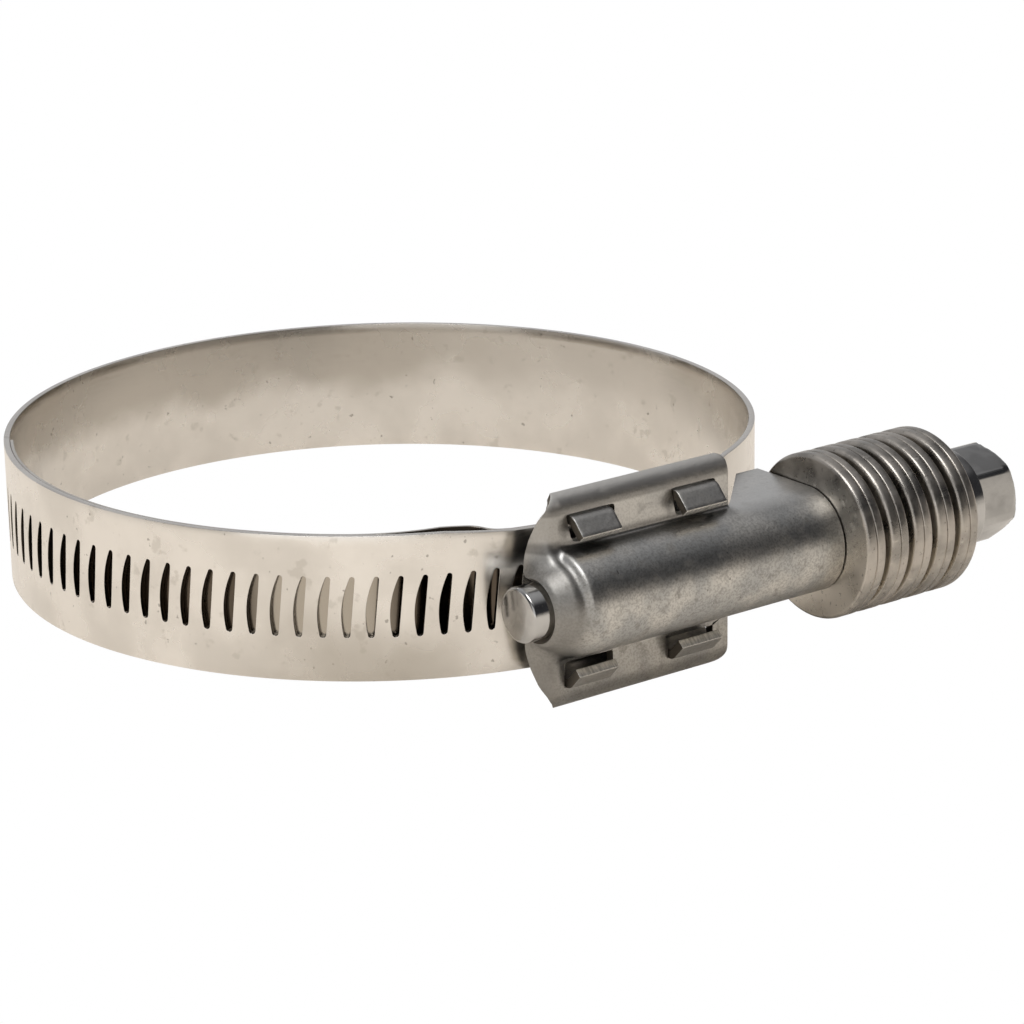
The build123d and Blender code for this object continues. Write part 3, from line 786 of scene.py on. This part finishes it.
def pressed_stainless():
    """Pressed stainless, handled and dulled: grey with brown stains and dark pits, with painted shade and
    painted highlights on the nose and the upper side.
    """
    material, tree, shader = metal("pressed_stainless_tumbled")
    cloud = between(tree, pattern(tree, 4.5, 4.0, shift=2.0), 0.36, 0.66)
    stain = between(tree, pattern(tree, 1.4, 4.0, shift=7.0), 0.52, 0.72)
    pit = between(tree, pattern(tree, 0.45, 2.0, shift=13.0), 0.68, 0.76)
    grit = between(tree, pattern(tree, 0.24, 3.0, shift=19.0), 0.42, 0.62)
    color = blend(tree, cloud, "#a4a4a2", "#c2bfb9")
    color = blend(tree, between(tree, stain, 0.0, 1.0, 0.0, 0.45), color, "#827e78")
    color = blend(tree, between(tree, grit, 0.0, 1.0, 0.0, 0.34), color, "#66635f")
    color = blend(tree, between(tree, pit, 0.0, 1.0, 0.0, 0.6), color, "#45423e")
    place = node(tree, "ShaderNodeTexCoord")
    part = node(tree, "ShaderNodeSeparateXYZ", None, Vector=place.outputs["Object"]).outputs
    # The nose is painted darker: painted shade that dims its reflections. The same mask makes it rougher
    nose_shade = between(tree, part["X"], -8.5 * MM, -11.0 * MM, 0.0, 0.7)
    color = blend(tree, nose_shade, color, "#7c7974")
    side = node(tree, "ShaderNodeMath", {"operation": "ABSOLUTE"}, _0=part["Z"]).outputs[0]
    color = blend(tree, between(tree, side, 5.5 * MM, 6.8 * MM, 0.0, 0.4), color, "#7f7b75")
    # Painted light on the upper side: a painted reflection on the upper side of the arch, painted shade in the
    # hollow beside it, a painted reflection on the upper skirt, a dark painted reflection on the margin's bend
    # and a painted highlight along the upper margin
    color = blend(tree, between(tree, part["Z"], 4.1 * MM, 5.1 * MM, 0.0, 0.22), color, "#dcdbd8")
    hollow = node(tree, "ShaderNodeMath", {"operation": "MULTIPLY"},
                  _0=between(tree, part["Z"], 5.3 * MM, 5.7 * MM, 0.0, 0.5),
                  _1=between(tree, part["Z"], 6.9 * MM, 6.2 * MM)).outputs[0]
    hollow = node(tree, "ShaderNodeMath", {"operation": "MULTIPLY"}, _0=hollow,
                  _1=between(tree, part["X"], 13.0 * MM, 12.0 * MM)).outputs[0]
    color = blend(tree, hollow, color, "#3d3a37")
    skirt = node(tree, "ShaderNodeMath", {"operation": "MULTIPLY"},
                 _0=between(tree, part["Z"], 5.1 * MM, 5.5 * MM, 0.0, 0.5),
                 _1=between(tree, part["X"], 12.0 * MM, 13.5 * MM)).outputs[0]
    color = blend(tree, skirt, color, "#dcdbd8")
    bend = node(tree, "ShaderNodeMath", {"operation": "MULTIPLY"},
                _0=between(tree, part["Z"], 9.1 * MM, 9.5 * MM, 0.0, 0.5),
                _1=between(tree, part["Z"], 10.3 * MM, 9.9 * MM)).outputs[0]
    color = blend(tree, bend, color, "#55524e")
    color = blend(tree, between(tree, part["Z"], 10.1 * MM, 10.6 * MM, 0.0, 0.9), color, "#e6e3dd")
    tree.links.new(color, shader.inputs["Base Color"])
    rough = node(tree, "ShaderNodeMath", {"operation": "MULTIPLY_ADD", 1: 0.12, 2: 0.33}, _0=stain)
    rough = node(tree, "ShaderNodeMath", {"operation": "MULTIPLY_ADD", 1: 0.16}, _0=nose_shade,
                 _2=rough.outputs[0])
    tree.links.new(rough.outputs[0], shader.inputs["Roughness"])
    relief(tree, shader, pattern(tree, 0.6, 5.0, shift=4.0), 0.026)
    return material


def sheared_edge():
    """Edge left by the shear: rough, lighter and browner, with fine lines across the sheet."""
    material, tree, shader = metal("sheared_stainless_edge")
    lines = pattern(tree, 0.3, 3.0, (1.0, 0.25, 0.25), 9.0)
    color = blend(tree, between(tree, lines, 0.35, 0.7), "#c6c3bc", "#f0ece4")
    # Faces that look along the screw's axis are painted dark: painted shade
    face = node(tree, "ShaderNodeNewGeometry").outputs["True Normal"]
    along = node(tree, "ShaderNodeSeparateXYZ", None, Vector=face).outputs["X"]
    along = node(tree, "ShaderNodeMath", {"operation": "ABSOLUTE"}, _0=along).outputs[0]
    color = blend(tree, between(tree, along, 0.5, 0.8), color, "#5b564f")
    tree.links.new(color, shader.inputs["Base Color"])
    shader.inputs["Roughness"].default_value = 0.5
    relief(tree, shader, lines, 0.03)
    return material


def spring_stainless():
    """Disc springs: dark tumbled steel, rubbed lighter at the rims, with pits and a brown cast; the lower half
    of each flat face carries a painted reflection.
    """
    material, tree, shader = metal("spring_steel_tumbled")
    cloud = between(tree, pattern(tree, 3.5, 4.0, shift=6.0), 0.36, 0.66)
    pit = between(tree, pattern(tree, 0.4, 3.0, shift=3.0), 0.60, 0.74)
    rub = between(tree, pattern(tree, 1.1, 3.0, (0.5, 1, 1), 15.0), 0.60, 0.72)
    color = blend(tree, cloud, "#908c86", "#b3ada5")
    color = blend(tree, between(tree, rub, 0.0, 1.0, 0.0, 0.5), color, "#cfcac2")
    # Flat faces are painted brighter on their lower half: a painted reflection of the pale floor below
    face = node(tree, "ShaderNodeNewGeometry").outputs["True Normal"]
    along = node(tree, "ShaderNodeSeparateXYZ", None, Vector=face).outputs["X"]
    along = node(tree, "ShaderNodeMath", {"operation": "ABSOLUTE"}, _0=along).outputs[0]
    place = node(tree, "ShaderNodeTexCoord").outputs["Object"]
    height = node(tree, "ShaderNodeSeparateXYZ", None, Vector=place).outputs["Z"]
    bright = node(tree, "ShaderNodeMath", {"operation": "MULTIPLY"}, _0=between(tree, along, 0.85, 0.95),
                  _1=between(tree, height, 4 * MM, -2 * MM, 0.0, 0.8)).outputs[0]
    color = blend(tree, bright, color, "#e2dcd2")
    color = blend(tree, between(tree, pit, 0.0, 1.0, 0.0, 0.6), color, "#504c47")
    tree.links.new(color, shader.inputs["Base Color"])
    rough = node(tree, "ShaderNodeMath", {"operation": "MULTIPLY_ADD", 1: 0.12, 2: 0.26}, _0=cloud)
    tree.links.new(rough.outputs[0], shader.inputs["Roughness"])
    relief(tree, shader, pattern(tree, 0.5, 4.0, shift=8.0), 0.02)
    return material


def bright_screw():
    """Screw: plated steel with a smooth, bright surface and a few small marks."""
    material, tree, shader = metal("bright_plated_screw")
    mark = between(tree, pattern(tree, 0.5, 2.0, shift=21.0), 0.70, 0.76)
    cloud = between(tree, pattern(tree, 3.0, 2.0, shift=1.0), 0.4, 0.6)
    color = blend(tree, cloud, "#a6a5a3", "#b6b5b3")
    color = blend(tree, between(tree, mark, 0.0, 1.0, 0.0, 0.5), color, "#8a8783")
    tree.links.new(color, shader.inputs["Base Color"])
    shader.inputs["Roughness"].default_value = 0.13
    relief(tree, shader, pattern(tree, 1.6, 2.0, shift=17.0), 0.006)
    return material


def cut_tip():
    """End of the screw as cut off: matt, with shear lines."""
    material, tree, shader = metal("cut_steel_end")
    lines = pattern(tree, 0.9, 3.0, (1.0, 1.4, 0.35), 12.0)
    tree.links.new(blend(tree, between(tree, lines, 0.35, 0.65), "#78736c", "#a29c93"),
                   shader.inputs["Base Color"])
    shader.inputs["Roughness"].default_value = 0.34
    relief(tree, shader, lines, 0.03)
    return material


def paint(piece, *materials):
    piece.data.materials.clear()
    for material in materials:
        piece.data.materials.append(material)


# ---- Camera, floor and light ----

def place_camera():
    """Camera at the photograph's angle: bearing, height, roll and distance from the hose axis."""
    azimuth, elevation, roll = math.radians(-34.48), math.radians(17.48), math.radians(-1.69)
    distance, focal, u0, v0 = 0.38175, 3403.0, 380.97, 482.5
    back = Vector((math.sin(azimuth) * math.cos(elevation), -math.cos(azimuth) * math.cos(elevation),
                   math.sin(elevation)))
    right = Vector((math.cos(azimuth), math.sin(azimuth), 0.0))
    up = back.cross(right)
    turned_right = right * math.cos(roll) + up * math.sin(roll)
    turned_up = up * math.cos(roll) - right * math.sin(roll)
    data = bpy.data.cameras.new("photo_camera")
    data.sensor_width = 36.0
    data.lens = 36.0 * focal / 1024.0
    data.shift_x = (512.0 - u0) / 1024.0
    data.shift_y = -(512.0 - v0) / 1024.0
    data.clip_start, data.clip_end = 0.01, 20.0
    camera = bpy.data.objects.new("photo_camera", data)
    bpy.context.scene.collection.objects.link(camera)
    turn = Matrix((turned_right, turned_up, back)).transposed()
    camera.matrix_world = Matrix.Translation(back * distance) @ turn.to_4x4()
    bpy.context.scene.camera = camera


def area_light(name, place, target, size, power, color=(1, 1, 1)):
    data = bpy.data.lights.new(name, "AREA")
    data.shape = "RECTANGLE"
    data.size, data.size_y = size
    data.energy = power
    data.color = color
    lamp = bpy.data.objects.new(name, data)
    bpy.context.scene.collection.objects.link(lamp)
    lamp.location = place
    aim = (Vector(target) - Vector(place)).normalized()
    lamp.rotation_euler = aim.to_track_quat("-Z", "Y").to_euler()
    return lamp


def make_stage():
    """Pale floor that reads white to the camera and in reflections, and soft light from above."""
    half = 1.5
    low = -0.0122
    corners = [(-half, -half, low), (half, -half, low), (half, half, low), (-half, half, low)]
    mesh = bpy.data.meshes.new("floor")
    mesh.from_pydata(corners, [], [(0, 1, 2, 3)])
    floor = bpy.data.objects.new("floor", mesh)
    bpy.context.scene.collection.objects.link(floor)
    material = bpy.data.materials.new("pale_floor")
    material.use_nodes = True
    tree = material.node_tree
    tree.nodes.clear()
    diffuse = node(tree, "ShaderNodeBsdfDiffuse", {"Color": linear("#f6eee4")})
    glow = node(tree, "ShaderNodeEmission", {"Color": (1, 1, 1, 1), "Strength": 1.0})
    path = node(tree, "ShaderNodeLightPath")
    mix = node(tree, "ShaderNodeMixShader", None, _0=path.outputs["Is Camera Ray"],
               _1=diffuse.outputs[0], _2=glow.outputs[0])
    node(tree, "ShaderNodeOutputMaterial", None, Surface=mix.outputs[0])
    mesh.materials.append(material)
    world = bpy.data.worlds.new("studio")
    bpy.context.scene.world = world
    world.use_nodes = True
    tree = world.node_tree
    tree.nodes.clear()
    # Reflections see a pale floor and horizon, a dark wall above it, and a paler ceiling behind
    way = node(tree, "ShaderNodeTexCoord")
    part = node(tree, "ShaderNodeSeparateXYZ", None, Vector=way.outputs["Generated"]).outputs
    shade = blend(tree, between(tree, part["Z"], -0.05, 0.20), "#f4ece2", "#3a3a3d")
    shade = blend(tree, between(tree, part["Z"], 0.58, 0.9), shade, "#c8c8ca")
    shade = blend(tree, between(tree, part["Y"], 0.1, 0.75, 0.0, 0.85), shade, "#d2d2d4")
    path = node(tree, "ShaderNodeLightPath")
    soft = node(tree, "ShaderNodeBackground", {"Color": linear("#f0f0f0"), "Strength": 0.8})
    room = node(tree, "ShaderNodeBackground", {"Strength": 1.0}, Color=shade)
    white = node(tree, "ShaderNodeBackground", {"Color": (1, 1, 1, 1), "Strength": 1.0})
    mix = node(tree, "ShaderNodeMixShader", None, _0=path.outputs["Is Glossy Ray"],
               _1=soft.outputs[0], _2=room.outputs[0])
    mix = node(tree, "ShaderNodeMixShader", None, _0=path.outputs["Is Camera Ray"],
               _1=mix.outputs[0], _2=white.outputs[0])
    node(tree, "ShaderNodeOutputWorld", None, Surface=mix.outputs[0])
    area_light("soft_top", (-0.25, -0.15, 0.6), (0, 0, 0), (0.35, 0.35), 2.0)
    area_light("soft_left", (-0.6, -0.5, 0.2), (0, 0, 0), (0.8, 0.6), 1.2)


place_camera()
make_stage()
strip = rolled_stainless()
pressing = pressed_stainless()
edge = sheared_edge()
paint(make_band(), strip)
paint(make_liner(), thin_stainless())
paint(make_housing(), pressing, edge)
paint(make_saddle(), pressing, edge)
paint(make_screw(), bright_screw(), cut_tip())
spring = spring_stainless()
for disc in make_discs():
    paint(disc, spring)

bpy.context.scene.view_settings.view_transform = "Standard"
